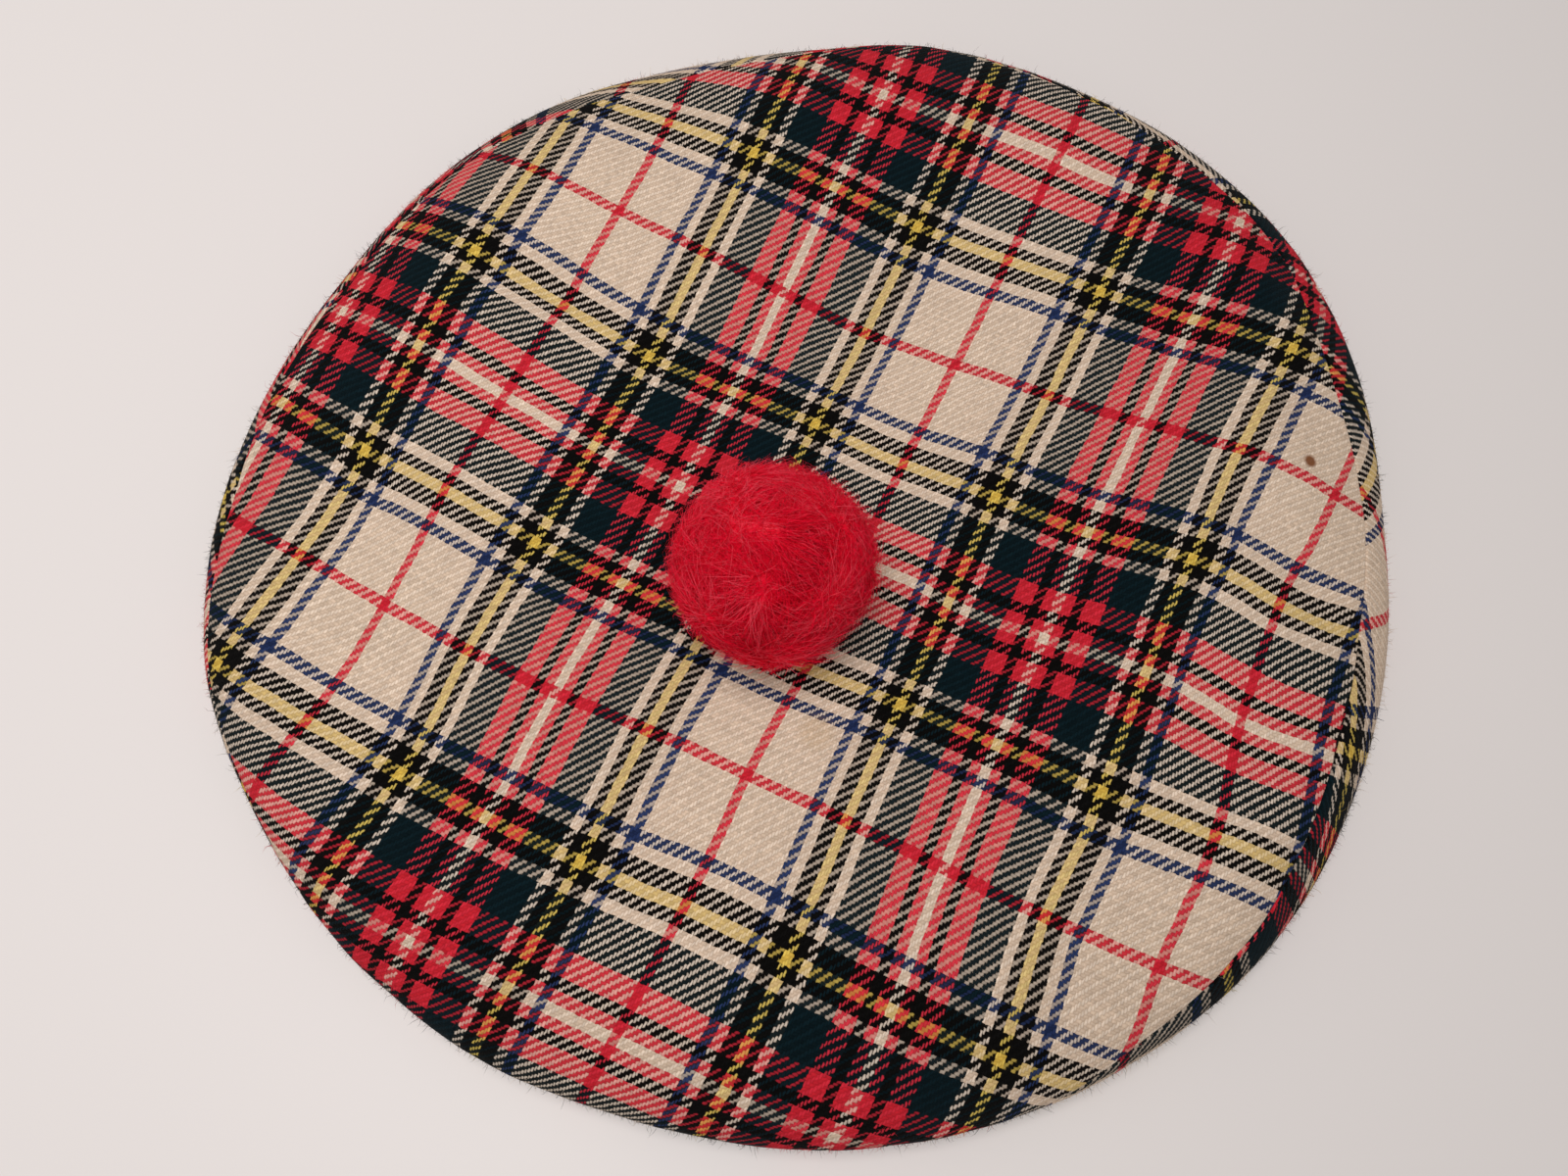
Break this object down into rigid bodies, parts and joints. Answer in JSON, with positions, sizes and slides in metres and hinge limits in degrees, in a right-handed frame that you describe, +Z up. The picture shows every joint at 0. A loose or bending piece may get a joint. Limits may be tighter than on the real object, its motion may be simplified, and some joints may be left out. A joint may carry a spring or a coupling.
{
  "type": "tam o' shanter",
  "caption": "Flat round tam o' shanter of cream, red, green and yellow tartan wool with a red wool pompom, lying on its headband.",
  "frame": {"origin": "on the surface that the hat lies on, below the middle of its outline", "axes": "+Z up through the top, +Y towards the hat's far side and +X to the right in the picture's view"},
  "size_m": [0.2798, 0.2756, 0.0663],
  "materials": {
    "tartan_wool": "woven twill, matt, slightly brushed",
    "headband_tape": "ribbed tape, matt",
    "pompom_wool": "brushed fluffy wool"
  },
  "bodies": {
    "root": {"crown_top": "tartan_wool", "crown_underside": "tartan_wool", "headband": "headband_tape", "pompom": "pompom_wool"}
  },
  "joints": []
}
